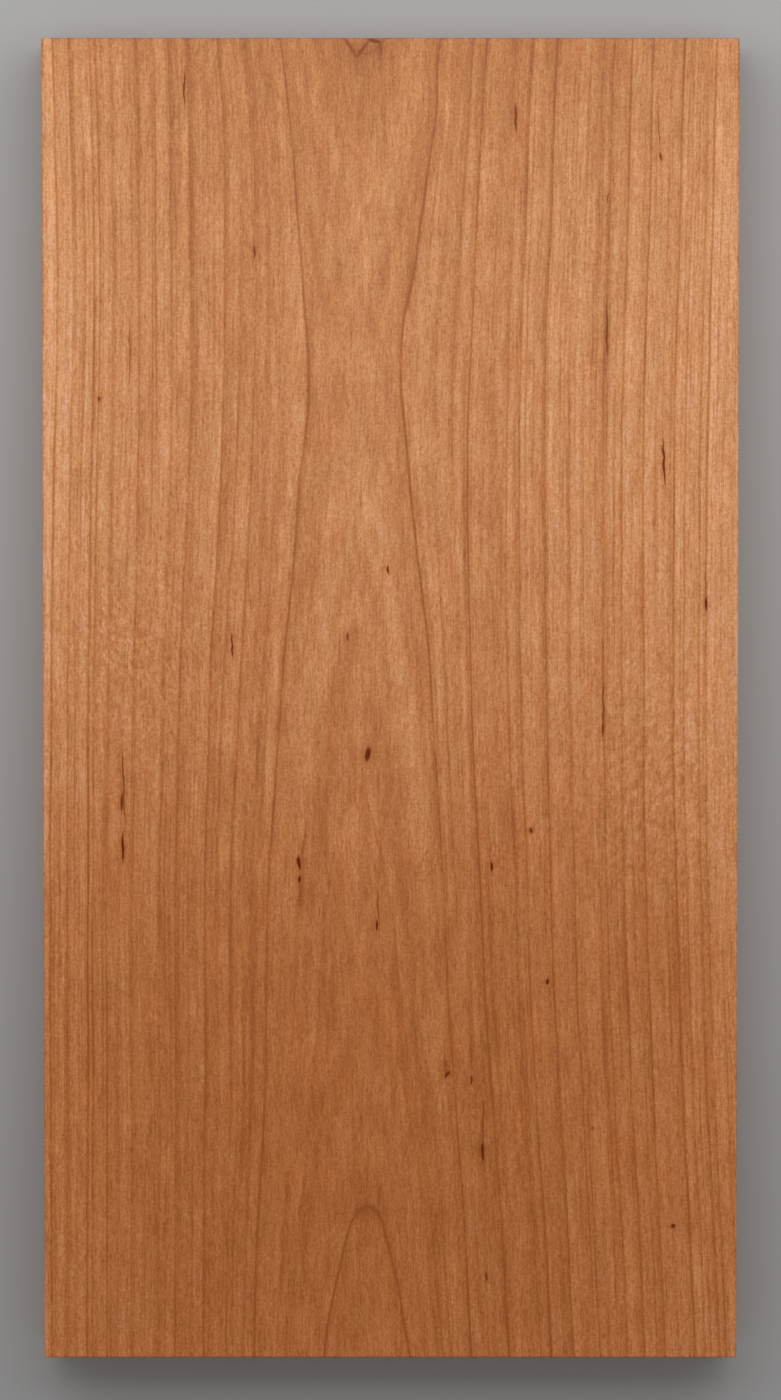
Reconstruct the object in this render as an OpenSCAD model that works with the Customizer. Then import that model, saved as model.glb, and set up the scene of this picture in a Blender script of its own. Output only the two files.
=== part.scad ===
// Cherry board: one piece of planed hardwood stock, cut to length and lying flat.
// The grain and the length run along Y, the width along X and the thickness along Z.
// The show face looks up. The origin is at the middle of the back face.
// All sizes are in millimetres.

/* [Board] */
// Length, with the grain
board_length = 266; // [100:1:2400]
// Width, across the grain
board_width = 140; // [60:1:300]
// Thickness after both faces are planed
board_thickness = 19; // [6:0.5:50]

/* [Arrises] */
// Radius sanded onto the four long arrises, with the grain
side_arris = 0.4; // [0.1:0.05:2]
// Radius sanded onto the end arrises, across both faces
end_arris = 0.35; // [0.1:0.05:2]
// Radius sanded onto the four short upright arrises
corner_arris = 0.3; // [0.1:0.05:2]

/* [Hidden] */
$fn = 48;
// Each outline is extruded this far past the board, so that no two faces of the cut coincide
overrun = 1;

// A rectangle centred on the origin, with its four corners rounded
module eased_rectangle(size_x, size_y, radius) {
    square([size_x - 2 * radius, size_y], center = true);
    square([size_x, size_y - 2 * radius], center = true);
    for (side_x = [-1, 1], side_y = [-1, 1])
        translate([side_x * (size_x / 2 - radius), side_y * (size_y / 2 - radius)])
            circle(r = radius);
}

// The cross-section, as the planer leaves it, run along the grain
module section_along_grain() {
    rotate([90, 0, 0])
        linear_extrude(height = board_length + 2 * overrun, center = true)
            eased_rectangle(board_width, board_thickness, side_arris);
}

// The outline seen from a long edge, run across the grain
module edge_outline_across_grain() {
    rotate([90, 0, 90])
        linear_extrude(height = board_width + 2 * overrun, center = true)
            eased_rectangle(board_length, board_thickness, end_arris);
}

// The outline seen from above, run through the thickness
module plan_through_thickness() {
    linear_extrude(height = board_thickness + 2 * overrun, center = true)
        eased_rectangle(board_width, board_length, corner_arris);
}

// The board is what the three outlines share, so every arris is eased and every face stays flat
module board() {
    color([0.75, 0.49, 0.32])
        translate([0, 0, board_thickness / 2])
            intersection() {
                section_along_grain();
                edge_outline_across_grain();
                plan_through_thickness();
            }
}

board();
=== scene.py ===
# A board of black cherry, planed on both faces, cut to length and lying flat on its back face.
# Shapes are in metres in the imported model's frame: X across the board, Y along its grain, Z up. The
# wood's pattern has the same directions, and is in millimetres from the middle of the show face.
import math

import bpy
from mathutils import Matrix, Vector


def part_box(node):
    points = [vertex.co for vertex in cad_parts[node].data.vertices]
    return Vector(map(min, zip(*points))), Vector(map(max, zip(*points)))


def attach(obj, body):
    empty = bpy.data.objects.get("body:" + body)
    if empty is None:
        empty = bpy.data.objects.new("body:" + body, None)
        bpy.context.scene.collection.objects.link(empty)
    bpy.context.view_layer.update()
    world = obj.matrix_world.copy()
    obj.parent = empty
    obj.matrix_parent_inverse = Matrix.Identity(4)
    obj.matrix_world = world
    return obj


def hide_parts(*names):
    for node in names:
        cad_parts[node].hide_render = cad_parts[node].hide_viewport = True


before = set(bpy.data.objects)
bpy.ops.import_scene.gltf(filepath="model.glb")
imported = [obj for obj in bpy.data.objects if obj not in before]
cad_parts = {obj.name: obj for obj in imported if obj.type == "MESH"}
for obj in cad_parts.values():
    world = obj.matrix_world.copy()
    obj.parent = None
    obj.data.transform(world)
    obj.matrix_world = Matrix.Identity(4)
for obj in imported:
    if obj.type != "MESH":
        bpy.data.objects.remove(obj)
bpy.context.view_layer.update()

# ------------------------------------------------------------------------------------------
# The board: one piece of solid black cherry heartwood, sawn from the log a little above its pith,
# planed on all four sides, cut square at both ends, eased along every arris with fine paper, and
# left bare. The growth rings meet the show face flat in the middle and steep at the edges.

MM = 0.001


def linear(hex_colour):
    """An sRGB hex colour as the linear red, green, blue and alpha that Blender's sockets take."""
    parts = [int(hex_colour[i:i + 2], 16) / 255 for i in (1, 3, 5)]
    return [c / 12.92 if c <= 0.04045 else ((c + 0.055) / 1.055) ** 2.4 for c in parts] + [1.0]


def add(tree, kind, sockets=None, curve=None, stops=None, **settings):
    """Adds one node with its settings, and sets or links its inputs; curve and stops shape it."""
    node = tree.nodes.new(kind)
    for name, value in settings.items():
        setattr(node, name, value)
    for name, value in (sockets or {}).items():
        if isinstance(value, bpy.types.Node):
            value = next(output for output in value.outputs if output.enabled)
        if isinstance(value, bpy.types.NodeSocket):
            tree.links.new(value, node.inputs[name])
        else:
            node.inputs[name].default_value = value
    if curve:
        points = node.mapping.curves[0].points
        points[0].location, points[1].location = curve[0], curve[-1]
        for x, y in curve[1:-1]:
            points.new(x, y)
        node.mapping.update()
    if stops:
        ramp = node.color_ramp.elements
        while len(ramp) < len(stops):
            ramp.new(0.5)
        for element, (place, colour) in zip(ramp, stops):
            element.position = place
            element.color = linear(colour)
    return node


MATH, VECTOR = "ShaderNodeMath", "ShaderNodeVectorMath"
FLOAT_CURVE, MAP_RANGE = "ShaderNodeFloatCurve", "ShaderNodeMapRange"

low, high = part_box("board")
width, length, thickness = high - low
face_height = high.z

# Planed cherry, unfinished: a satin red-brown with fine, close grain and a few dark gum flecks.
cherry = bpy.data.materials.new("planed black cherry")
cherry.use_nodes = True
wood = cherry.node_tree
wood.nodes.clear()

# Millimetres from the middle of the show face: X across, Y along the grain, Z up out of the face.
coordinates = add(wood, "ShaderNodeTexCoord")
from_face = add(wood, VECTOR, {0: coordinates.outputs["Object"], 1: (0, 0, face_height)},
                operation="SUBTRACT")
place = add(wood, VECTOR, {0: from_face, "Scale": 1 / MM}, operation="SCALE")

# No stem grows quite true, so every line wanders a tenth or two of a millimetre.
slow_place = add(wood, VECTOR, {0: place, 1: (1 / 16, 1 / 50, 1 / 16)}, operation="MULTIPLY")
wander = add(wood, "ShaderNodeTexNoise", {"Vector": slow_place, "Scale": 1.0, "Detail": 2.0})
wander_middle = add(wood, VECTOR, {0: wander.outputs["Color"], 1: (0.5, 0.5, 0.5)},
                    operation="SUBTRACT")
wandered = add(wood, VECTOR, {0: wander_middle, 1: (0.9, 0.0, 0.9), 2: place},
               operation="MULTIPLY_ADD")
spot = add(wood, "ShaderNodeSeparateXYZ", {0: wandered})

# The pith runs under the board: where along it, how far to the side, and how far below the face.
PITH = ((-133, -5.0, 26.0), (-105, -5.7, 27.3), (-80, -6.5, 28.4), (-40, -7.5, 29.5),
        (0, -7.5, 30.7), (40, -7.0, 31.8), (70, -6.5, 32.1), (100, -6.0, 31.4),
        (125, -6.0, 30.4), (133, -6.0, 29.8))
half_length = length / MM / 2
SIDE_SPAN = -10.0
DEPTH_FROM, DEPTH_TO = 20.0, 40.0
along = add(wood, MAP_RANGE, {"Value": spot.outputs["Y"], "From Min": -half_length,
                              "From Max": half_length})
side_curve = [((y + half_length) / (2 * half_length), side / SIDE_SPAN) for y, side, depth in PITH]
pith_side = add(wood, FLOAT_CURVE, {"Value": along}, curve=side_curve)
depth_curve = [((y + half_length) / (2 * half_length),
                (depth - DEPTH_FROM) / (DEPTH_TO - DEPTH_FROM)) for y, side, depth in PITH]
pith_depth = add(wood, FLOAT_CURVE, {"Value": along}, curve=depth_curve)
pith_below = add(wood, MAP_RANGE, {"Value": pith_depth, "To Min": DEPTH_FROM, "To Max": DEPTH_TO},
                 clamp=False)
across = add(wood, MATH, {0: pith_side, 1: -SIDE_SPAN, 2: spot.outputs["X"]},
             operation="MULTIPLY_ADD")
above_pith = add(wood, MATH, {0: pith_below, 1: spot.outputs["Z"]}, operation="ADD")
from_pith = add(wood, "ShaderNodeCombineXYZ", {"X": across, "Y": above_pith})
plain_radius = add(wood, VECTOR, {0: from_pith}, operation="LENGTH")

# A soft spot is 1 in its middle and fades to nothing just past its reach.
soft_spot = bpy.data.node_groups.new("soft spot", "ShaderNodeTree")
for name in ("Place", "Middle", "Reach"):
    soft_spot.interface.new_socket(name, in_out="INPUT", socket_type="NodeSocketVector")
soft_spot.interface.new_socket("Amount", in_out="OUTPUT", socket_type="NodeSocketFloat")
inside = add(soft_spot, "NodeGroupInput").outputs
spot_steps = add(soft_spot, "ShaderNodeMapping",
                 {"Vector": inside["Place"], "Location": inside["Middle"], "Scale": inside["Reach"]},
                 vector_type="TEXTURE")
spot_square = add(soft_spot, VECTOR, {0: spot_steps, 1: spot_steps}, operation="DOT_PRODUCT")
spot_fall = add(soft_spot, MATH, {0: spot_square, 1: -1.0}, operation="MULTIPLY")
spot_shape = add(soft_spot, MATH, {0: spot_fall}, operation="EXPONENT")
add(soft_spot, "NodeGroupOutput", {"Amount": spot_shape})

# Low swellings and hollows of the stem push its lines apart or together: where each lies, to the
# side of the pith and along it; how far it reaches; and how high it is, all in mm.
SWELLINGS = (((0, 65), (13, 34), 0.7), ((17, -45), (6, 85), -0.95), ((26, 15), (5, 45), 0.75),
             ((-28, 120), (12, 45), 0.6), ((-42, 90), (7, 30), -0.55), ((-22, -115), (8, 25), -0.5),
             ((-56, -38), (9, 48), 1.05), ((15, 118), (8, 9), -0.42))
stem_place = add(wood, "ShaderNodeCombineXYZ", {"X": across, "Y": spot.outputs["Y"]})
radius = plain_radius
for middle, reach, high_mm in SWELLINGS:
    swelling = add(wood, "ShaderNodeGroup",
                   {"Place": stem_place, "Middle": (*middle, 0), "Reach": (*reach, 1)},
                   node_tree=soft_spot)
    radius = add(wood, MATH, {0: swelling, 1: high_mm, 2: radius}, operation="MULTIPLY_ADD")

# Wood coordinates: out from the pith, round it, and along the grain, all in millimetres.
ROUND_MM = 30.0
angle = add(wood, MATH, {0: across, 1: above_pith}, operation="ARCTAN2")
round_pith = add(wood, MATH, {0: angle, 1: ROUND_MM}, operation="MULTIPLY")
grain_place = add(wood, "ShaderNodeCombineXYZ",
                  {"X": radius, "Y": round_pith, "Z": spot.outputs["Y"]})

# Where each year's growth ends, in mm from the pith, left and right of it; how dark the line of
# its late wood is there, left and right; and how pale the early wood just outside that line is.
YEARS = ((5.0, 5.0, 0.4, 0.4, 0.3, 0.3), (9.0, 9.0, 0.6, 0.6, 0.3, 0.3),
         (13.5, 13.5, 0.5, 0.5, 0.35, 0.35), (18.0, 18.0, 0.7, 0.7, 0.3, 0.3),
         (21.5, 21.5, 0.4, 0.4, 0.2, 0.2), (25.8, 25.8, 0.3, 0.3, 1.0, 1.0),
         (27.3, 27.5, 0.92, 0.78, 0.9, 1.0), (30.05, 30.2, 0.35, 0.4, 0.0, 0.0),
         (31.0, 31.15, 0.1, 0.03, 0.9, 1.0), (34.1, 33.8, 0.85, 0.9, 0.6, 0.75),
         (36.8, 37.5, 0.15, 0.1, 0.0, 0.0), (38.3, 39.2, 0.42, 1.0, 0.15, 0.3),
         (42.0, 44.1, 0.75, 0.45, 0.65, 0.0), (46.5, 45.8, 0.65, 0.8, 0.1, 0.7),
         (49.2, 49.6, 0.35, 0.85, 0.3, 0.2), (54.1, 53.4, 0.5, 0.4, 0.0, 0.5),
         (58.5, 59.1, 0.5, 0.7, 0.1, 0.3), (61.1, 62.2, 0.7, 0.8, 0.0, 0.1),
         (62.1, 66.0, 1.0, 0.95, 0.7, 0.1), (65.8, 71.5, 0.55, 1.0, 0.3, 0.1),
         (68.6, 73.4, 0.75, 0.3, 0.8, 0.1), (72.0, 76.1, 0.5, 0.65, 0.35, 0.0),
         (76.0, 77.4, 0.5, 0.5, 0.25, 0.25), (80.0, 82.5, 0.5, 0.1, 0.25, 0.4))
RADIUS_SPAN, YEAR_SPAN = 90.0, 25.0
right_side = add(wood, MAP_RANGE, {"Value": across, "From Min": -6.0, "From Max": 6.0},
                 interpolation_type="SMOOTHSTEP")
radius_share = add(wood, MATH, {0: radius, 1: 1 / RADIUS_SPAN}, operation="MULTIPLY")
year_of_side = []
for side in (0, 1):
    ends = [(year[side] / RADIUS_SPAN, (number + 1) / YEAR_SPAN) for number, year in enumerate(YEARS)]
    year_of_side.append(add(wood, FLOAT_CURVE, {"Value": radius_share},
                            curve=[(0.0, 0.0)] + ends + [(1.0, 1.0)]))
year_share = add(wood, "ShaderNodeMix", {0: right_side, 2: year_of_side[0], 3: year_of_side[1]})
year = add(wood, MATH, {0: year_share, 1: YEAR_SPAN}, operation="MULTIPLY")
season = add(wood, MATH, {0: year}, operation="FRACT")


def read_years(whole_year, column, span=1.0):
    """Reads one pair of columns of YEARS, left and right of the pith, at a whole number of years.

    Radii run from nothing to the whole span, and strengths are middling before and after the list.
    """
    share = add(wood, MATH, {0: whole_year, 1: 1 / YEAR_SPAN}, operation="MULTIPLY")
    first, last = (0.0, 1.0) if span > 1 else (0.5, 0.5)
    sides = []
    for side in (0, 1):
        values = [((number + 1) / YEAR_SPAN, row[column + side] / span)
                  for number, row in enumerate(YEARS)]
        sides.append(add(wood, FLOAT_CURVE, {"Value": share},
                         curve=[(0.0, first)] + values + [(1.0, last)]))
    read = add(wood, "ShaderNodeMix", {0: right_side, 2: sides[0], 3: sides[1]})
    return add(wood, MATH, {0: read, 1: span}, operation="MULTIPLY")


# A year's late wood darkens over its last millimetre and ends in a line just under half a
# millimetre wide on any face, unless the ring lies almost flat in it. The early wood is palest one
# millimetre out.
FLATTEST_RING = 0.09
outward_here = add(wood, "ShaderNodeCombineXYZ", {"X": across, "Z": above_pith})
outward_unit = add(wood, VECTOR, {0: outward_here}, operation="NORMALIZE")
flatness = add(wood, VECTOR, {0: outward_unit, 1: coordinates.outputs["Normal"]},
               operation="DOT_PRODUCT")
flat_square = add(wood, MATH, {0: flatness, 1: flatness}, operation="MULTIPLY")
steep_square = add(wood, MATH, {0: 1.0, 1: flat_square}, operation="SUBTRACT")
steep = add(wood, MATH, {0: steep_square, 1: 0.5}, operation="POWER")
steepness = add(wood, MATH, {0: steep, 1: FLATTEST_RING}, operation="MAXIMUM")
nearest_year = add(wood, MATH, {0: year}, operation="ROUND")
past_line = add(wood, MATH, {0: radius, 1: read_years(nearest_year, 0, RADIUS_SPAN)},
                operation="SUBTRACT")
before_line = add(wood, MATH, {0: past_line, 1: 0.0}, operation="LESS_THAN")
last_year = add(wood, MATH, {0: nearest_year, 1: before_line}, operation="SUBTRACT")
past_last = add(wood, MATH, {0: radius, 1: read_years(last_year, 0, RADIUS_SPAN)},
                operation="SUBTRACT")
line_steps = add(wood, MATH, {0: past_line, 1: steepness}, operation="DIVIDE")
line_share = add(wood, MAP_RANGE, {"Value": line_steps, "From Min": -2.0, "From Max": 2.0})
late_line = add(wood, FLOAT_CURVE, {"Value": line_share},
                curve=[(0.0, 0.0), (0.2, 0.07), (0.38, 0.18), (0.43, 0.36), (0.463, 0.9), (0.5, 1.0),
                       (0.533, 0.85), (0.57, 0.2), (0.6, 0.0), (1.0, 0.0)])
early_share = add(wood, MAP_RANGE, {"Value": past_last, "From Min": 0.0, "From Max": 4.0})
early_pale = add(wood, FLOAT_CURVE, {"Value": early_share},
                 curve=[(0.0, 0.0), (0.09, 0.25), (0.17, 0.85), (0.24, 1.0), (0.33, 0.75), (0.45, 0.3),
                        (0.65, 0.08), (0.8, 0.0), (1.0, 0.0)])
season_tone = add(wood, FLOAT_CURVE, {"Value": season},
                  curve=[(0.0, 0.5), (0.1, 0.9), (0.35, 0.75), (0.7, 0.4), (0.9, 0.1), (1.0, 0.2)])
line_place = add(wood, "ShaderNodeCombineXYZ", {"X": nearest_year, "Z": spot.outputs["Y"]})
fade_steps = add(wood, VECTOR, {0: line_place, 1: (7.3, 1.0, 1 / 28)}, operation="MULTIPLY")
line_fade = add(wood, "ShaderNodeTexNoise", {"Vector": fade_steps, "Scale": 1.0, "Detail": 2.0})
line_range = add(wood, MAP_RANGE, {"Value": line_fade, "From Min": 0.3, "From Max": 0.7,
                                   "To Min": 0.65, "To Max": 1.35})
line_strength = add(wood, MATH, {0: read_years(nearest_year, 2), 1: line_range}, operation="MULTIPLY")
flat_boost = add(wood, MAP_RANGE, {"Value": steepness, "From Min": 0.15, "From Max": 0.8,
                                   "To Min": 1.35, "To Max": 0.95})
line = add(wood, MATH, {0: late_line, 1: line_strength}, operation="MULTIPLY")
line = add(wood, MATH, {0: line, 1: flat_boost}, operation="MULTIPLY")
# Here and there the lines are fainter, over the widest stretch in the middle towards the near end:
# where each spot lies, how far it reaches, and what share of a line it takes away. One adds instead.
FAINT_SPOTS = (((-7, -75), (26, 50), 0.45), ((17.5, 96), (7, 20), 0.35), ((3, 73), (5, 12), 0.3),
               ((4.5, 42), (5, 12), -0.5), ((-32, -52), (4, 30), 0.65), ((-50.5, 95), (4, 35), 0.5),
               ((32.5, 95), (3, 30), 0.3), ((-68.5, 20), (3, 35), 0.3))
for middle, reach, taken in FAINT_SPOTS:
    faint = add(wood, "ShaderNodeGroup", {"Place": place, "Middle": (*middle, 0), "Reach": (*reach, 30)},
                node_tree=soft_spot)
    left_over = add(wood, MATH, {0: faint, 1: -taken, 2: 1.0}, operation="MULTIPLY_ADD")
    line = add(wood, MATH, {0: line, 1: left_over}, operation="MULTIPLY")
early = add(wood, MATH, {0: early_pale, 1: read_years(last_year, 4)}, operation="MULTIPLY")
early_range = add(wood, MAP_RANGE, {"Value": spot.outputs["Y"], "From Min": -60.0, "From Max": -10.0,
                                    "To Min": 0.25, "To Max": 1.0})
early = add(wood, MATH, {0: early, 1: early_range}, operation="MULTIPLY")

# Everything that makes the wood darker or paler is added up as the log of its lightness.
# Layers of grain, by mm across the rings, round them and along the grain; how much each adds as it
# rises and falls, and how much it takes away where it drops into a thin dark line or dot. Real fibres,
# vessels and rays are a tenth of a millimetre wide or less, and are drawn several times coarser.
RING_GRAIN = (("seasons that grew alike", 3.0, 30.0, 260.0, 0.30, 0.0),
              ("bands within a season", 0.8, 25.0, 200.0, 0.22, 0.15),
              ("lines within a band", 0.4, 12.0, 90.0, 0.22, 0.22))
FIBRE_GRAIN = (("fibre bundles", 0.8, 0.8, 14.0, 0.44, 0.0),
               ("fibres", 0.36, 0.36, 6.0, 0.32, 0.17),
               ("vessels", 0.3, 0.3, 1.5, 0.41, 0.21),
               ("rays", 0.42, 0.42, 0.5, 0.95, 0.0))
LAYER_MEAN, DIP_MEAN = 0.5, 0.18
dips = {}
sums = []
for grain in (RING_GRAIN, FIBRE_GRAIN):
    total, middle = 0.0, 0.0
    for name, out, round_it, along_it, rise, drop in grain:
        steps = add(wood, VECTOR, {0: grain_place, 1: (1 / out, 1 / round_it, 1 / along_it)},
                    operation="MULTIPLY")
        layer = add(wood, "ShaderNodeTexNoise", {"Vector": steps, "Scale": 1.0, "Detail": 1.0},
                    label=name)
        total = add(wood, MATH, {0: layer, 1: rise, 2: total}, operation="MULTIPLY_ADD")
        middle += rise * LAYER_MEAN
        if drop:
            dips[name] = add(wood, MAP_RANGE, {"Value": layer, "From Min": 0.46, "From Max": 0.26})
            total = add(wood, MATH, {0: dips[name], 1: -drop, 2: total}, operation="MULTIPLY_ADD")
            middle -= drop * DIP_MEAN
    sums.append(add(wood, MATH, {0: total, 1: middle}, operation="SUBTRACT"))
ring_grain, fibre_grain = sums

# Where the rings meet the face flat, their bands spread wide and fade into each other.
ring_share = add(wood, MAP_RANGE, {"Value": steepness, "From Min": 0.1, "From Max": 0.7,
                                   "To Min": 0.4, "To Max": 1.05})
ring_tone = add(wood, MATH, {0: ring_grain, 1: ring_share}, operation="MULTIPLY")

# There the face shows the flame of the fibres instead, in soft patches a few millimetres wide. Both
# are calmer towards the near end.
flame_steps = add(wood, VECTOR, {0: wandered, 1: (1 / 2.8, 1 / 11, 1 / 2.8)}, operation="MULTIPLY")
flame = add(wood, "ShaderNodeTexNoise", {"Vector": flame_steps, "Scale": 1.0, "Detail": 3.0,
                                         "Distortion": 0.5})
flame_share = add(wood, MAP_RANGE, {"Value": steepness, "From Min": 0.2, "From Max": 0.8,
                                    "To Min": 0.95, "To Max": 0.6})
flame_middle = add(wood, MATH, {0: flame, 1: 0.5}, operation="SUBTRACT")
ring_tone = add(wood, MATH, {0: flame_middle, 1: flame_share, 2: ring_tone}, operation="MULTIPLY_ADD")
calm_share = add(wood, MAP_RANGE, {"Value": spot.outputs["Y"], "From Min": -60.0, "From Max": -105.0,
                                   "To Min": 1.0, "To Max": 0.74})
ring_tone = add(wood, MATH, {0: ring_tone, 1: calm_share}, operation="MULTIPLY")

# Towards both edges the fibres are wavy: the even bands give way to a mottle of short curls.
# Each patch: where its middle is, how far it reaches across and along, and how its curls slant.
MOTTLES = (((-51, 8), (15, 21), 24), ((53, -14), (18, 28), -24))
CURL_STRENGTH, MOTTLE_SHARE = 1.7, 0.8
for middle, reach, slant in MOTTLES:
    patch = add(wood, "ShaderNodeGroup", {"Place": place, "Middle": (*middle, 0), "Reach": (*reach, 30)},
                node_tree=soft_spot)
    slanted = add(wood, "ShaderNodeMapping",
                  {"Vector": place, "Rotation": (0, 0, math.radians(slant)), "Scale": (1.2, 2.0, 1.5)},
                  vector_type="TEXTURE")
    curls = add(wood, "ShaderNodeTexNoise", {"Vector": slanted, "Scale": 1.0, "Detail": 2.0,
                                             "Distortion": 0.8})
    curls_middle = add(wood, MATH, {0: curls, 1: 0.5}, operation="SUBTRACT")
    curls_tone = add(wood, MATH, {0: curls_middle, 1: CURL_STRENGTH}, operation="MULTIPLY")
    patch_share = add(wood, MATH, {0: patch, 1: MOTTLE_SHARE}, operation="MULTIPLY")
    ring_tone = add(wood, "ShaderNodeMix", {0: patch_share, 2: ring_tone, 3: curls_tone})

# Soft clouds of darker and paler wood: middle, reach across and along, and how much paler.
# The narrow pale strips along both long edges are partly paler wood, partly painted sheen.
CLOUDS = (((-5.5, 129.0), (4, 5), -0.18), ((-5.0, 131.0), (9, 8), -0.06),
          ((-6.7, 132.3), (1.4, 1.5), 0.13), ((-6.8, -27.0), (3, 10), 0.10),
          ((-9.0, -38.0), (7, 14), 0.06), ((-5.2, -98.5), (5, 3.5), -0.12),
          ((-5.2, -103.0), (4, 2), -0.28), ((-49.0, -54.0), (9, 14), -0.04),
          ((-26.0, -58.0), (6, 9), -0.07), ((-17.8, -36.0), (0.8, 12), -0.10),
          ((-34.0, -62.0), (2.5, 24), 0.11), ((-63.0, 80.0), (3, 35), 0.07),
          ((-13.5, -57.0), (4, 12), 0.10), ((57.0, -52.0), (8, 12), -0.13),
          ((67.0, 98.0), (5, 22), 0.06), ((50.0, 112.0), (4, 24), -0.10),
          ((35.0, 122.0), (4, 14), -0.08), ((30.0, 128.0), (30, 14), -0.05),
          ((62.0, 0.0), (10, 20), 0.05), ((23.5, -24.0), (3, 5), -0.11),
          ((70.0, -105.0), (8, 25), -0.06), ((-66.0, -60.0), (8, 40), -0.035),
          ((45.0, -124.0), (18, 14), -0.04), ((-62.0, -20.0), (10, 25), -0.04),
          ((15.7, 125.0), (0.9, 12), 0.09), ((14.4, 103.0), (0.9, 12), 0.09),
          ((-22.0, 25.0), (9, 22), -0.04), ((27.0, -62.0), (3, 26), 0.06),
          ((69.0, -42.0), (3, 24), 0.14), ((-70.0, -27.0), (2, 22), 0.10))
for middle, reach, paler in CLOUDS:
    cloud = add(wood, "ShaderNodeGroup", {"Place": place, "Middle": (*middle, 0), "Reach": (*reach, 30)},
                node_tree=soft_spot)
    ring_tone = add(wood, MATH, {0: cloud, 1: paler, 2: ring_tone}, operation="MULTIPLY_ADD")

SEASON_TONE, LINE_TONE, EARLY_TONE = 0.05, -0.6, 0.17
tone = add(wood, MATH, {0: season_tone, 1: SEASON_TONE, 2: ring_tone}, operation="MULTIPLY_ADD")
tone = add(wood, MATH, {0: line, 1: LINE_TONE, 2: tone}, operation="MULTIPLY_ADD")
tone = add(wood, MATH, {0: early, 1: EARLY_TONE, 2: tone}, operation="MULTIPLY_ADD")
tone = add(wood, MATH, {0: tone, 1: fibre_grain}, operation="ADD")

# Both edges of the board are paler: partly the paler wood the tree laid down towards its outside,
# partly painted sheen. A curve holds only 0 to 1, so each is drawn half way up, and both halves come off
# at the end.
CURVE_MIDDLE, TONE_MIDDLE = 0.5, 0.08
half_width = width / MM / 2
crossways = add(wood, MAP_RANGE, {"Value": spot.outputs["X"], "From Min": -half_width,
                                  "From Max": half_width})
EDGE_TONES_AND_SHEEN = ((-70, 0.24), (-60, 0.11), (-45, -0.01), (-25, -0.075), (-8, -0.045), (10, -0.025),
              (25, -0.015), (40, 0.08), (55, 0.15), (70, 0.29))
edge_tone_and_sheen = add(wood, FLOAT_CURVE, {"Value": crossways},
                curve=[((x + half_width) / (2 * half_width), CURVE_MIDDLE + value)
                       for x, value in EDGE_TONES_AND_SHEEN])
# Paler edges: part the wood's own tone, part painted sheen.
tone = add(wood, MATH, {0: tone, 1: edge_tone_and_sheen}, operation="ADD")
# Palest in the far half and darker at both ends: partly the wood's own tone, towards the near end partly
# painted shade.
LENGTH_TONES_AND_SHADE = ((-133, -0.09), (-110, -0.155), (-60, -0.175), (-40, -0.12), (-20, 0.0), (0, 0.10),
                (20, 0.15), (60, 0.17), (100, 0.09), (133, -0.10))
length_tone_and_shade = add(wood, FLOAT_CURVE, {"Value": along},
                  curve=[((y + half_length) / (2 * half_length), CURVE_MIDDLE + value)
                         for y, value in LENGTH_TONES_AND_SHADE])
tone = add(wood, MATH, {0: tone, 1: length_tone_and_shade}, operation="ADD")
tone = add(wood, MATH, {0: tone, 1: TONE_MIDDLE + 2 * CURVE_MIDDLE}, operation="SUBTRACT")

# Both ends show end grain, which drinks in light: darker, with pale rays running out from the pith
# and the faint upright scratches of the cross-cut saw. The eased arrises carry a painted highlight, a
# paler tone.
facing = add(wood, VECTOR, {0: coordinates.outputs["Normal"]}, operation="ABSOLUTE")
facing_parts = add(wood, "ShaderNodeSeparateXYZ", {0: facing})
end_share = add(wood, MAP_RANGE, {"Value": facing_parts.outputs["Y"], "From Min": 0.6,
                                  "From Max": 0.95})
sideways = add(wood, MATH, {0: facing_parts.outputs["X"], 1: facing_parts.outputs["Y"]},
               operation="MAXIMUM")
squarest = add(wood, MATH, {0: sideways, 1: facing_parts.outputs["Z"]}, operation="MAXIMUM")
arris_highlight_share = add(wood, MAP_RANGE, {"Value": squarest, "From Min": 0.99, "From Max": 0.85})
ray_steps = add(wood, VECTOR, {0: grain_place, 1: (1 / 8, 1 / 0.35, 1 / 2)}, operation="MULTIPLY")
ray_noise = add(wood, "ShaderNodeTexNoise", {"Vector": ray_steps, "Scale": 1.0, "Detail": 1.0})
end_rays = add(wood, MAP_RANGE, {"Value": ray_noise, "From Min": 0.52, "From Max": 0.7})
saw_steps = add(wood, VECTOR, {0: place, 1: (1 / 0.5, 1 / 9, 1 / 40)}, operation="MULTIPLY")
saw_noise = add(wood, "ShaderNodeTexNoise", {"Vector": saw_steps, "Scale": 1.0, "Detail": 2.0})
saw_marks = add(wood, MAP_RANGE, {"Value": saw_noise, "From Min": 0.35, "From Max": 0.65,
                                  "To Min": -1.0, "To Max": 1.0})
END_TONE, RAY_TONE, SAW_TONE, ARRIS_HIGHLIGHT = -0.36, 0.16, 0.05, 0.08
end_tone = add(wood, MATH, {0: end_rays, 1: RAY_TONE, 2: END_TONE}, operation="MULTIPLY_ADD")
end_tone = add(wood, MATH, {0: saw_marks, 1: SAW_TONE, 2: end_tone}, operation="MULTIPLY_ADD")
tone = add(wood, MATH, {0: end_tone, 1: end_share, 2: tone}, operation="MULTIPLY_ADD")
# Painted highlight: the rounded arrises are drawn paler.
tone = add(wood, MATH, {0: arris_highlight_share, 1: ARRIS_HIGHLIGHT, 2: tone}, operation="MULTIPLY_ADD")

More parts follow.
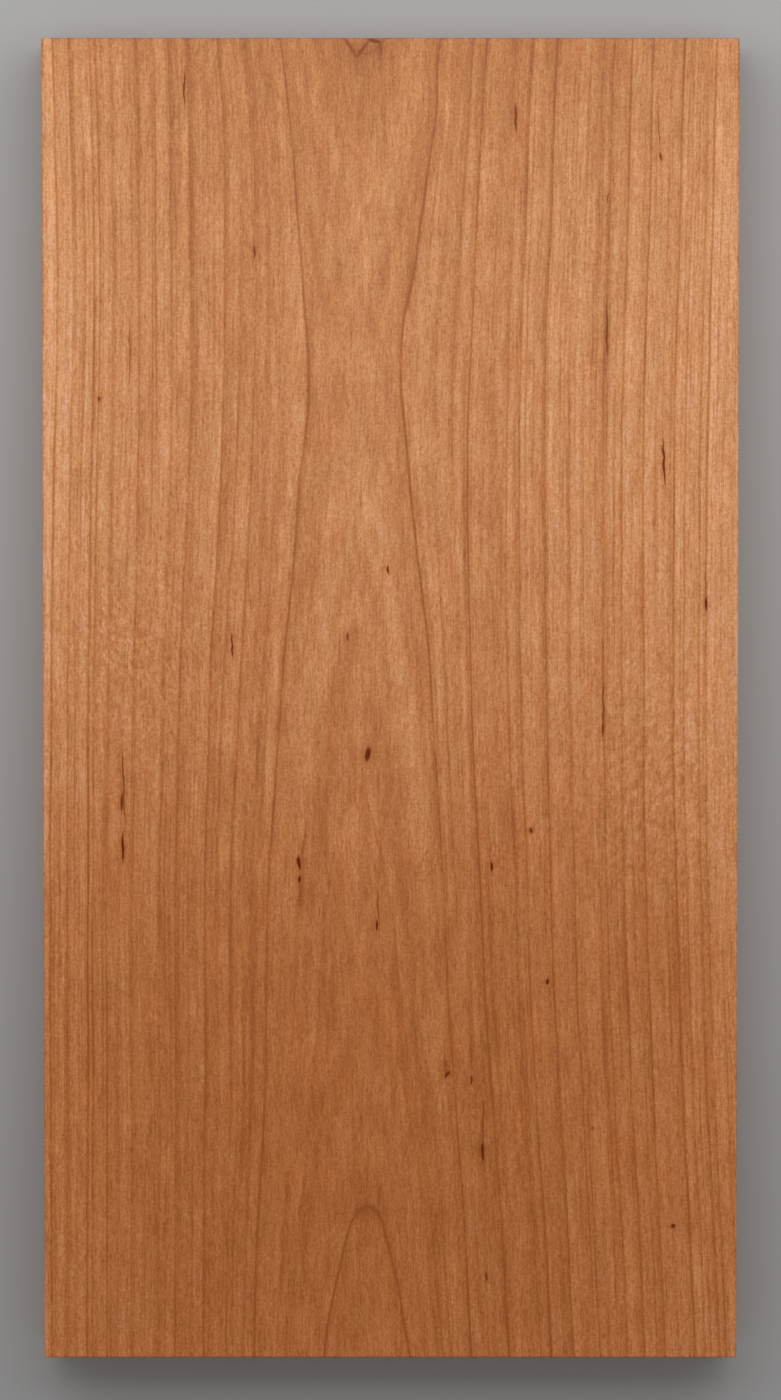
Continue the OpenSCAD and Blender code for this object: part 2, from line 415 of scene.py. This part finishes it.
# Gum flecks are thin dark streaks, pointed at both ends, in a stain that has crept along the grain.
fleck = bpy.data.node_groups.new("gum fleck", "ShaderNodeTree")
for name, kind in (("Place", "NodeSocketVector"), ("Middle", "NodeSocketVector"),
                   ("Lean", "NodeSocketVector"), ("Half size", "NodeSocketVector"),
                   ("Strength", "NodeSocketFloat"), ("Gum so far", "NodeSocketFloat"),
                   ("Stain so far", "NodeSocketFloat")):
    fleck.interface.new_socket(name, in_out="INPUT", socket_type=kind)
for name in ("Gum", "Stain"):
    fleck.interface.new_socket(name, in_out="OUTPUT", socket_type="NodeSocketFloat")
inside = add(fleck, "NodeGroupInput").outputs
local = add(fleck, "ShaderNodeMapping", {"Vector": inside["Place"], "Location": inside["Middle"],
                                         "Rotation": inside["Lean"], "Scale": inside["Half size"]},
            vector_type="TEXTURE")
reached = add(fleck, VECTOR, {0: local}, operation="LENGTH")
core = add(fleck, MAP_RANGE, {"Value": reached, "From Min": 1.35, "From Max": 0.6},
           interpolation_type="SMOOTHSTEP")
gum_amount = add(fleck, MATH, {0: core, 1: inside["Strength"]}, operation="MULTIPLY")
stain_steps = add(fleck, VECTOR, {0: local, 1: (0.28, 0.8, 0.28)}, operation="MULTIPLY")
stain_square = add(fleck, VECTOR, {0: stain_steps, 1: stain_steps}, operation="DOT_PRODUCT")
stain_fall = add(fleck, MATH, {0: stain_square, 1: -1.0}, operation="MULTIPLY")
stain_shape = add(fleck, MATH, {0: stain_fall}, operation="EXPONENT")
stain_amount = add(fleck, MATH, {0: stain_shape, 1: inside["Strength"]}, operation="MULTIPLY")
most_gum = add(fleck, MATH, {0: inside["Gum so far"], 1: gum_amount}, operation="MAXIMUM")
most_stain = add(fleck, MATH, {0: inside["Stain so far"], 1: stain_amount}, operation="MAXIMUM")
add(fleck, "NodeGroupOutput", {"Gum": most_gum, "Stain": most_stain})

# Each fleck: across and along the face, half its width and half its length in millimetres, its lean
# in degrees, and how dark it is.
FLECKS = ((-41.4, 122.8, 0.20, 3.8, 0, 0.8), (-27.4, 90.3, 0.22, 1.4, 0, 0.8),
          (-52.4, 69.5, 0.18, 7.2, 0, 0.5), (25.1, 117.0, 0.26, 3.0, 2, 0.8),
          (25.1, 124.0, 0.5, 7.0, 0, 0.15), (53.8, 114.9, 0.15, 3.6, 0, 0.6),
          (54.2, 109.4, 0.2, 0.9, 10, 0.9), (43.6, 101.1, 0.16, 1.0, 0, 0.6),
          (43.5, 74.5, 0.2, 5.6, 0, 0.75), (43.5, 58.4, 0.16, 10.5, 0, 0.3),
          (42.8, -1.4, 0.18, 5.6, 0, 0.75), (42.8, -5.6, 0.25, 1.5, 0, 0.85),
          (42.7, 8.0, 0.15, 6.0, 0, 0.4), (63.4, 24.0, 0.16, 4.0, 0, 0.4),
          (-58.5, 60.7, 0.28, 0.45, 0, 0.8), (-46.2, 32.8, 0.2, 0.4, 0, 0.5),
          (-31.8, 11.1, 0.22, 2.6, 4, 0.9), (-0.5, 26.5, 0.25, 0.9, -5, 0.9),
          (-8.7, 12.9, 0.22, 0.8, 0, 0.8), (20.1, 66.3, 0.35, 0.5, 30, 0.3),
          (55.0, 48.1, 0.25, 4.9, 3, 0.9), (63.5, 19.6, 0.26, 1.4, 0, 0.95),
          (-53.8, -17.5, 0.18, 8.0, 2, 0.75), (-54.1, -20.3, 0.24, 2.2, 0, 0.9),
          (-53.9, -29.6, 0.26, 3.2, 0, 1.0),
          (-38.8, -7.8, 0.2, 0.4, 0, 0.5), (-4.6, -10.7, 0.58, 1.5, -8, 0.95),
          (-18.4, -32.7, 0.4, 1.3, 5, 1.0), (-18.3, -36.0, 0.28, 0.75, 0, 1.0),
          (-17.4, -28.3, 0.25, 3.6, -10, 0.42), (-18.2, -39.0, 0.2, 2.2, 0, 0.4),
          (-2.5, -41.3, 0.2, 3.6, 3, 0.5), (-2.8, -45.2, 0.26, 1.2, 3, 0.95),
          (-63.6, -36.6, 0.16, 0.4, 0, 0.4), (28.2, -26.2, 0.3, 0.6, 0, 0.9),
          (20.4, -33.4, 0.3, 1.0, 5, 1.0), (20.1, -30.0, 0.2, 3.0, 0, 0.3),
          (44.5, -44.6, 0.2, 0.4, 0, 0.3), (31.6, -56.7, 0.3, 0.6, 0, 1.0),
          (11.6, -75.4, 0.32, 0.85, -40, 0.9), (11.2, -73.8, 0.5, 1.6, 10, 0.42),
          (16.3, -72.0, 0.18, 4.5, 0, 0.4), (16.4, -76.6, 0.24, 0.9, 0, 0.9),
          (18.7, -84.5, 0.16, 5.0, 0, 0.6), (18.6, -91.2, 0.3, 2.0, 3, 0.95),
          (40.9, -86.4, 0.2, 0.4, 0, 0.6), (57.1, -106.3, 0.5, 0.55, 0, 0.85),
          (19.4, -116.5, 0.26, 0.8, 0, 0.75), (43.3, -128.6, 0.2, 0.5, 0, 0.5),
          (-8.0, 131.0, 0.35, 2.4, 36, 0.5), (-5.6, 130.8, 0.35, 2.2, -40, 0.55),
          (-3.2, 132.4, 0.4, 1.6, 80, 0.7), (-2.0, 131.2, 0.35, 1.5, 8, 0.5))
crooked_steps = add(wood, VECTOR, {0: place, 1: (0.4, 0.35, 0.4)}, operation="MULTIPLY")
crooked = add(wood, "ShaderNodeTexNoise", {"Vector": crooked_steps, "Scale": 1.0, "Detail": 2.0})
crooked_middle = add(wood, VECTOR, {0: crooked.outputs["Color"], 1: (0.5, 0.5, 0.5)},
                     operation="SUBTRACT")
crooked_place = add(wood, VECTOR, {0: crooked_middle, 1: (0.8, 0.8, 0.0), 2: place},
                    operation="MULTIPLY_ADD")
FLECK_HALF_DEEP = 0.5
gum, stain = 0.0, 0.0
for across_mm, along_mm, half_wide, half_long, lean, strength in FLECKS:
    one = add(wood, "ShaderNodeGroup",
              {"Place": crooked_place, "Middle": (across_mm, along_mm, 0),
               "Lean": (0, 0, math.radians(lean)), "Half size": (half_wide, half_long, FLECK_HALF_DEEP),
               "Strength": strength, "Gum so far": gum, "Stain so far": stain}, node_tree=fleck)
    gum, stain = one.outputs
# Where the gum is thin it only stains the wood; where it is thick it covers it.
STAIN_TONE, GUM_TONE = -0.35, -0.5
tone = add(wood, MATH, {0: stain, 1: STAIN_TONE, 2: tone}, operation="MULTIPLY_ADD")
tone = add(wood, MATH, {0: gum, 1: GUM_TONE, 2: tone}, operation="MULTIPLY_ADD")
gum_cover = add(wood, MATH, {0: gum, 1: gum}, operation="MULTIPLY")

TONE_SPAN = 0.8
tone_share = add(wood, MAP_RANGE, {"Value": tone, "From Min": -TONE_SPAN, "From Max": TONE_SPAN})
wood_colour = add(wood, "ShaderNodeValToRGB", {0: tone_share},
                  stops=[(0.0, "#A04E04"), (0.25, "#B25E1D"), (0.5, "#C57239"), (0.75, "#D88A58"),
                         (1.0, "#EEA580")])

# The lines and the gum are a warmer brown. Here and there the heartwood is more golden or less red,
# in patches a few millimetres wide. It is most golden at the middle of the far end, and less red all
# over there.
golden_steps = add(wood, VECTOR, {0: wandered, 1: (1 / 3.5, 1 / 11, 1 / 3.5)}, operation="MULTIPLY")
patches = add(wood, "ShaderNodeTexNoise", {"Vector": golden_steps, "Scale": 1.0, "Detail": 2.0})
patch_parts = add(wood, "ShaderNodeSeparateColor", {0: patches.outputs["Color"]})
golden_end = add(wood, "ShaderNodeGroup", {"Place": place, "Middle": (6, 130, 0), "Reach": (34, 18, 30)},
                 node_tree=soft_spot)
golden = add(wood, MATH, {0: golden_end, 1: 0.2, 2: patch_parts.outputs["Red"]},
             operation="MULTIPLY_ADD")
golden_share = add(wood, MAP_RANGE, {"Value": golden, "From Min": 0.35, "From Max": 0.65})
brown_share = add(wood, MAP_RANGE, {"Value": patch_parts.outputs["Green"], "From Min": 0.35,
                                    "From Max": 0.65})
for amount, tint in ((line, "#FFFCDA"), (gum, "#F6E594"), (golden_share, "#FFFDE9"),
                     (brown_share, "#FAFFFF"), (along, "#F3FFF5")):
    wood_colour = add(wood, "ShaderNodeMix", {0: amount, 6: wood_colour, 7: linear(tint)},
                      data_type="RGBA", blend_type="MULTIPLY")

# Planing burnishes the paler, softer wood a little more than the late wood, and end grain is dull.
PLANED_ROUGHNESS = 0.45
roughness = add(wood, MATH, {0: line, 1: 0.04, 2: PLANED_ROUGHNESS}, operation="MULTIPLY_ADD")
roughness = add(wood, MATH, {0: fibre_grain, 1: -0.06, 2: roughness}, operation="MULTIPLY_ADD")
roughness = add(wood, MATH, {0: end_share, 1: 0.17, 2: roughness}, operation="MULTIPLY_ADD")

# The cut vessels are open grooves about a hundredth of a millimetre deep, and the saw leaves ridges
# as high.
VESSEL_DEEP, SAW_HIGH = 0.008, 0.008
height = add(wood, MATH, {0: dips["vessels"], 1: -VESSEL_DEEP}, operation="MULTIPLY")
saw_height = add(wood, MATH, {0: saw_marks, 1: end_share}, operation="MULTIPLY")
height = add(wood, MATH, {0: saw_height, 1: SAW_HIGH, 2: height}, operation="MULTIPLY_ADD")
relief = add(wood, "ShaderNodeBump", {"Height": height, "Distance": MM, "Strength": 1.0})

planed = add(wood, "ShaderNodeBsdfPrincipled",
             {"Base Color": wood_colour, "Roughness": roughness, "IOR": 1.5, "Normal": relief})
# Gum dries to a crumbly crust down in its pocket, a dark red-brown with no shine at all.
crust = add(wood, "ShaderNodeBsdfDiffuse", {"Color": linear("#702A03"), "Roughness": 0.5})
surface = add(wood, "ShaderNodeMixShader", {0: gum_cover, 1: planed, 2: crust})
add(wood, "ShaderNodeOutputMaterial", {"Surface": surface})

# The block is built on a grid that counts outwards from its middle, with every arris eased.
TREE_INPUTS = (("Width", "NodeSocketFloat", width), ("Length", "NodeSocketFloat", length),
               ("Thickness", "NodeSocketFloat", thickness),
               ("Side arris", "NodeSocketFloat", 0.4 * MM), ("End arris", "NodeSocketFloat", 0.35 * MM),
               ("Cell", "NodeSocketFloat", 4.0 * MM), ("Arris steps", "NodeSocketInt", 3),
               ("Wood", "NodeSocketMaterial", cherry))
shape = bpy.data.node_groups.new("eased board", "GeometryNodeTree")
identifiers = {}
for name, kind, value in TREE_INPUTS:
    identifiers[name] = shape.interface.new_socket(name, in_out="INPUT", socket_type=kind).identifier
shape.interface.new_socket("Board", in_out="OUTPUT", socket_type="NodeSocketGeometry")
given = add(shape, "NodeGroupInput").outputs

# A block of square cells, with a few extra at every edge for its arris.
size = add(shape, "ShaderNodeCombineXYZ",
           {"X": given["Width"], "Y": given["Length"], "Z": given["Thickness"]})
half = add(shape, VECTOR, {0: size, "Scale": 0.5}, operation="SCALE")
arris = add(shape, "ShaderNodeCombineXYZ",
            {"X": given["Side arris"], "Y": given["End arris"], "Z": given["Side arris"]})
half_cells = add(shape, VECTOR, {0: half, 1: given["Cell"]}, operation="DIVIDE")
flat_cells = add(shape, VECTOR, {0: half_cells}, operation="CEIL")
all_cells = add(shape, VECTOR, {0: flat_cells, 1: given["Arris steps"]}, operation="ADD")
vertices = add(shape, VECTOR, {0: all_cells, 1: (2, 2, 2), 2: (1, 1, 1)}, operation="MULTIPLY_ADD")
counts = add(shape, "ShaderNodeSeparateXYZ", {0: vertices})
block = add(shape, "GeometryNodeMeshCube",
            {"Size": size, "Vertices X": counts.outputs["X"], "Vertices Y": counts.outputs["Y"],
             "Vertices Z": counts.outputs["Z"]})

# Cells count outwards from the middle. The flat ones fill the face, and the last few turn through
# 45 degrees on each side of the arris.
position = add(shape, "GeometryNodeInputPosition")
outward = add(shape, VECTOR, {0: position}, operation="SIGN")
from_middle = add(shape, VECTOR, {0: position}, operation="ABSOLUTE")
share_out = add(shape, VECTOR, {0: from_middle, 1: half}, operation="DIVIDE")
cells_out = add(shape, VECTOR, {0: share_out, 1: all_cells}, operation="MULTIPLY")
flat_share = add(shape, VECTOR, {0: cells_out, 1: flat_cells}, operation="DIVIDE")
flat_clipped = add(shape, VECTOR, {0: flat_share, 1: (1, 1, 1)}, operation="MINIMUM")
flat_half = add(shape, VECTOR, {0: half, 1: arris}, operation="SUBTRACT")
flat_reach = add(shape, VECTOR, {0: flat_clipped, 1: flat_half}, operation="MULTIPLY")
steps_out = add(shape, VECTOR, {0: cells_out, 1: flat_cells}, operation="SUBTRACT")
steps_clipped = add(shape, VECTOR, {0: steps_out, 1: (0, 0, 0)}, operation="MAXIMUM")
turn_share = add(shape, VECTOR, {0: steps_clipped, 1: given["Arris steps"]}, operation="DIVIDE")
turn = add(shape, VECTOR, {0: turn_share, "Scale": math.pi / 4}, operation="SCALE")
rise = add(shape, VECTOR, {0: turn}, operation="TANGENT")
reach = add(shape, VECTOR, {0: rise, 1: arris, 2: flat_reach}, operation="MULTIPLY_ADD")
inner = add(shape, VECTOR, {0: reach, 1: flat_half}, operation="MINIMUM")
beyond = add(shape, VECTOR, {0: reach, 1: inner}, operation="SUBTRACT")
beyond_arris = add(shape, VECTOR, {0: beyond, 1: arris}, operation="DIVIDE")
rounded = add(shape, VECTOR, {0: beyond_arris}, operation="NORMALIZE")
eased = add(shape, VECTOR, {0: rounded, 1: arris, 2: inner}, operation="MULTIPLY_ADD")
lift = add(shape, MATH, {0: given["Thickness"], 1: 0.5}, operation="MULTIPLY")
lift_up = add(shape, "ShaderNodeCombineXYZ", {"Z": lift})
eased_place = add(shape, VECTOR, {0: eased, 1: outward, 2: lift_up}, operation="MULTIPLY_ADD")
eased_block = add(shape, "GeometryNodeSetPosition", {"Geometry": block, "Position": eased_place})

# The flat faces stay crisp, and the arrises shade smoothly.
normal = add(shape, "GeometryNodeInputNormal")
normal_size = add(shape, VECTOR, {0: normal}, operation="ABSOLUTE")
normal_parts = add(shape, "ShaderNodeSeparateXYZ", {0: normal_size})
flattest = add(shape, MATH, {0: normal_parts.outputs["X"], 1: normal_parts.outputs["Y"]},
               operation="MAXIMUM")
flattest = add(shape, MATH, {0: flattest, 1: normal_parts.outputs["Z"]}, operation="MAXIMUM")
is_round = add(shape, MATH, {0: flattest, 1: 0.9995}, operation="LESS_THAN")
shaded = add(shape, "GeometryNodeSetShadeSmooth", {"Geometry": eased_block, "Shade Smooth": is_round})
real = add(shape, "GeometryNodeRealizeInstances", {0: shaded})
finished = add(shape, "GeometryNodeSetMaterial", {"Geometry": real, "Material": given["Wood"]})
add(shape, "NodeGroupOutput", {0: finished})

maker = bpy.data.objects.new("board maker", bpy.data.meshes.new("board maker"))
bpy.context.scene.collection.objects.link(maker)
modifier = maker.modifiers.new("eased board", "NODES")
modifier.node_group = shape
for name, kind, value in TREE_INPUTS:
    modifier[identifiers[name]] = value
maker.update_tag()
bpy.context.view_layer.update()
evaluated = maker.evaluated_get(bpy.context.evaluated_depsgraph_get())
board_mesh = bpy.data.meshes.new_from_object(evaluated)
board_mesh.name = "cherry_board"
# The first slot is the plain block's own, and empty.
board_mesh.materials.pop(index=0)
bpy.data.objects.remove(maker)
board = bpy.data.objects.new("cherry_board", board_mesh)
bpy.context.scene.collection.objects.link(board)

# Its own map lays the show face out largest, then the back, both edges stacked, and both ends in a
# strip along the bottom.
MAP_OF_SIDE = {(2, 1): (0.004, 0.700, 0.062, 0.996), (2, -1): (0.706, 0.937, 0.062, 0.996),
               (0, -1): (0.943, 0.996, 0.062, 0.525), (0, 1): (0.943, 0.996, 0.533, 0.996),
               (1, -1): (0.004, 0.496, 0.004, 0.054), (1, 1): (0.504, 0.996, 0.004, 0.054)}
ACROSS_MAP, UP_MAP = {2: 0, 0: 2, 1: 0}, {2: 1, 0: 1, 1: 2}
board_map = board_mesh.uv_layers.new(name="OFBake")
for face in board_mesh.polygons:
    side = max((0, 1, 2), key=lambda axis: abs(face.normal[axis]))
    left, right, bottom, top = MAP_OF_SIDE[side, 1 if face.normal[side] > 0 else -1]
    for corner in face.loop_indices:
        point = board_mesh.vertices[board_mesh.loops[corner].vertex_index].co
        share = [(point[axis] - low[axis]) / (high[axis] - low[axis]) for axis in (0, 1, 2)]
        board_map.data[corner].uv = (left + (right - left) * share[ACROSS_MAP[side]],
                                     bottom + (top - bottom) * share[UP_MAP[side]])

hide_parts("board")
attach(board, "root")

# ------------------------------------------------------------------------------------------
# The studio: a plain pale floor, one large soft lamp above and a little beyond the far end of the
# board, and an even fill from the room.

studio = bpy.data.materials.new("matt studio floor")
studio.use_nodes = True
studio.node_tree.nodes["Principled BSDF"].inputs["Base Color"].default_value = linear("#A8A8A8")
studio.node_tree.nodes["Principled BSDF"].inputs["Roughness"].default_value = 0.9

FLOOR_HALF = 4.0
floor_mesh = bpy.data.meshes.new("studio_floor")
floor_mesh.from_pydata([(-FLOOR_HALF, -FLOOR_HALF, 0), (FLOOR_HALF, -FLOOR_HALF, 0),
                        (FLOOR_HALF, FLOOR_HALF, 0), (-FLOOR_HALF, FLOOR_HALF, 0)],
                       [], [(0, 1, 2, 3)])
floor_mesh.materials.append(studio)
floor = bpy.data.objects.new("studio_floor", floor_mesh)
bpy.context.scene.collection.objects.link(floor)

LAMP_SIZE = (0.9, 0.58)
LAMP_PLACE = Vector((0.0, 0.31, 0.42))
LAMP_WATTS, FILL_STRENGTH = 2.6, 0.38
lamp_data = bpy.data.lights.new("softbox", "AREA")
lamp_data.shape = "RECTANGLE"
lamp_data.size, lamp_data.size_y = LAMP_SIZE
lamp_data.energy = LAMP_WATTS
lamp = bpy.data.objects.new("softbox", lamp_data)
lamp.location = LAMP_PLACE
lamp.visible_camera = False
bpy.context.scene.collection.objects.link(lamp)

room = bpy.data.worlds.new("studio room")
room.use_nodes = True
bpy.context.scene.world = room
sky = room.node_tree
sky.nodes.clear()
rays = add(sky, "ShaderNodeLightPath")
seen = add(sky, MATH, {0: rays.outputs["Is Camera Ray"], 1: rays.outputs["Is Glossy Ray"]},
           operation="MAXIMUM")
seen = add(sky, MATH, {0: seen, 1: rays.outputs["Is Transmission Ray"]}, operation="MAXIMUM")
fill = add(sky, "ShaderNodeBackground", {"Color": linear("#FFFFFF"), "Strength": FILL_STRENGTH})
backdrop = add(sky, "ShaderNodeBackground", {"Color": linear("#888888"), "Strength": 1.0})
room_light = add(sky, "ShaderNodeMixShader", {0: seen, 1: fill, 2: backdrop})
add(sky, "ShaderNodeOutputWorld", {"Surface": room_light})

# ------------------------------------------------------------------------------------------
# The camera looks down on the show face, a little off square towards the far end, with the board
# upright in a frame 6 % longer than it.

CAMERA_DISTANCE = 1.1
CAMERA_TILT = math.radians(2.32)
FRAME_SHARE = 1.06
AIM_ALONG = 0.2 * MM
view_length = FRAME_SHARE * length
target = Vector((0, AIM_ALONG, face_height))
camera_data = bpy.data.cameras.new("camera")
camera_data.lens = camera_data.sensor_width * CAMERA_DISTANCE / view_length
camera = bpy.data.objects.new("camera", camera_data)
outward_view = Vector((0, math.sin(CAMERA_TILT), math.cos(CAMERA_TILT)))
camera.location = target + CAMERA_DISTANCE * outward_view
camera.rotation_euler = (-CAMERA_TILT, 0, 0)
bpy.context.scene.collection.objects.link(camera)
bpy.context.scene.camera = camera
bpy.context.scene.view_settings.view_transform = "Standard"
